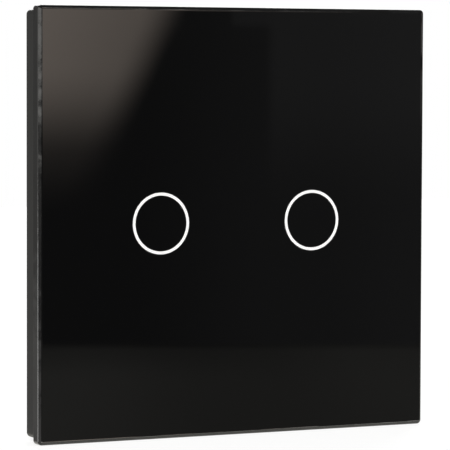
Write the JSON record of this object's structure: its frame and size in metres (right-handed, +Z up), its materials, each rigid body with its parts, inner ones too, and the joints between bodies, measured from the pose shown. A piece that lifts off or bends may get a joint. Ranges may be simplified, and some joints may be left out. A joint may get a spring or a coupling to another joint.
{
  "type": "touch light switch",
  "caption": "Square black glass touch switch for a wall box, with white touch rings, a pull-off cover, relays and clamp terminals behind it.",
  "frame": {"origin": "centre of the wall plate's rear face, in the wall plane", "axes": "+X to the right seen from the room, +Y into the wall, +Z up; the glass faces -Y"},
  "size_m": [0.086, 0.0347, 0.086],
  "materials": {
    "glass": "gloss",
    "print": "gloss",
    "ring": "satin",
    "tape": "matte",
    "frame": "satin",
    "inner_plastic": "satin",
    "housing": "satin",
    "steel": "satin",
    "board": "satin",
    "lamp": "gloss",
    "chip": "matte",
    "brass": "satin",
    "copper": "satin",
    "fuse_body": "gloss",
    "film": "gloss",
    "can": "satin",
    "guide": "gloss",
    "relay_plastic": "satin",
    "terminal_plastic": "satin"
  },
  "bodies": {
    "switch_body": {"wall_plate": "inner_plastic", "rear_housing": "housing", "housing_screws": "steel", "control_board": "board", "indicator_lamps": "lamp", "controller_chip": "chip", "header_strip": "chip", "header_pins": "brass", "power_board": "board", "board_spacers": "housing", "board_screws": "steel", "terminal_bars": "copper", "fuse": "fuse_body", "film_capacitor": "film", "electrolytic_capacitor": "can", "rectifier": "chip", "touch_spring_left": "brass", "light_guide_left": "guide", "relay_base_left": "chip", "relay_case_left": "relay_plastic", "relay_coil_left": "copper", "relay_yoke_left": "steel", "relay_contact_left": "brass", "touch_spring_right": "brass", "light_guide_right": "guide", "relay_base_right": "chip", "relay_case_right": "relay_plastic", "relay_coil_right": "copper", "relay_yoke_right": "steel", "relay_contact_right": "brass", "terminal_block_1": "terminal_plastic", "terminal_block_2": "terminal_plastic", "terminal_block_3": "terminal_plastic", "terminal_block_4": "terminal_plastic"},
    "front_cover": {"glass_panel": "glass", "back_print": "print", "touch_ring_left": "ring", "touch_ring_right": "ring", "adhesive_frame": "tape", "cover_frame": "frame"},
    "fixing_screw_left": {"fixing_screw_left": "steel"},
    "fixing_screw_right": {"fixing_screw_right": "steel"},
    "terminal_screw_1": {"terminal_screw_1": "steel"},
    "terminal_screw_2": {"terminal_screw_2": "steel"},
    "terminal_screw_3": {"terminal_screw_3": "steel"},
    "terminal_screw_4": {"terminal_screw_4": "steel"},
    "terminal_cage_1": {"terminal_cage_1": "brass"},
    "terminal_cage_2": {"terminal_cage_2": "brass"},
    "terminal_cage_3": {"terminal_cage_3": "brass"},
    "terminal_cage_4": {"terminal_cage_4": "brass"},
    "relay_armature_left": {"relay_armature_left": "steel"},
    "relay_armature_right": {"relay_armature_right": "steel"}
  },
  "joints": [
    {"name": "cover_pull", "type": "slide", "parent": "switch_body", "child": "front_cover", "axis": [0, -1, 0], "range_m": [0, 0.02]},
    {"name": "fixing_turn_left", "type": "hinge", "parent": "switch_body", "child": "fixing_screw_left", "pos_m": [-0.03015, 0, 0], "axis": [0, 1, 0], "continuous": true},
    {"name": "fixing_turn_right", "type": "hinge", "parent": "switch_body", "child": "fixing_screw_right", "pos_m": [0.03015, 0, 0], "axis": [0, 1, 0], "continuous": true},
    {"name": "terminal_turn_1", "type": "hinge", "parent": "switch_body", "child": "terminal_screw_1", "pos_m": [-0.0195, 0.02, -0.021], "axis": [0, -1, 0], "range_deg": [0, 2160]},
    {"name": "cage_rise_1", "type": "slide", "parent": "switch_body", "child": "terminal_cage_1", "axis": [0, 1, 0], "range_m": [0, 0.003]},
    {"name": "terminal_turn_2", "type": "hinge", "parent": "switch_body", "child": "terminal_screw_2", "pos_m": [-0.0065, 0.02, -0.021], "axis": [0, -1, 0], "range_deg": [0, 2160]},
    {"name": "cage_rise_2", "type": "slide", "parent": "switch_body", "child": "terminal_cage_2", "axis": [0, 1, 0], "range_m": [0, 0.003]},
    {"name": "terminal_turn_3", "type": "hinge", "parent": "switch_body", "child": "terminal_screw_3", "pos_m": [0.0065, 0.02, -0.021], "axis": [0, -1, 0], "range_deg": [0, 2160]},
    {"name": "cage_rise_3", "type": "slide", "parent": "switch_body", "child": "terminal_cage_3", "axis": [0, 1, 0], "range_m": [0, 0.003]},
    {"name": "terminal_turn_4", "type": "hinge", "parent": "switch_body", "child": "terminal_screw_4", "pos_m": [0.0195, 0.02, -0.021], "axis": [0, -1, 0], "range_deg": [0, 2160]},
    {"name": "cage_rise_4", "type": "slide", "parent": "switch_body", "child": "terminal_cage_4", "axis": [0, 1, 0], "range_m": [0, 0.003]},
    {"name": "armature_tilt_left", "type": "hinge", "parent": "switch_body", "child": "relay_armature_left", "pos_m": [-0.011, 0.0181, 0.0177], "axis": [-1, 0, 0], "range_deg": [0, 2.5], "stiffness_Nm_per_rad": 0.02},
    {"name": "armature_tilt_right", "type": "hinge", "parent": "switch_body", "child": "relay_armature_right", "pos_m": [0.011, 0.0181, 0.0177], "axis": [-1, 0, 0], "range_deg": [0, 2.5], "stiffness_Nm_per_rad": 0.02}
  ],
  "couplings": [
    {"joint": "terminal_turn_1", "follows": "cage_rise_1", "rad_per_m": 12566},
    {"joint": "terminal_turn_2", "follows": "cage_rise_2", "rad_per_m": 12566},
    {"joint": "terminal_turn_3", "follows": "cage_rise_3", "rad_per_m": 12566},
    {"joint": "terminal_turn_4", "follows": "cage_rise_4", "rad_per_m": 12566}
  ]
}
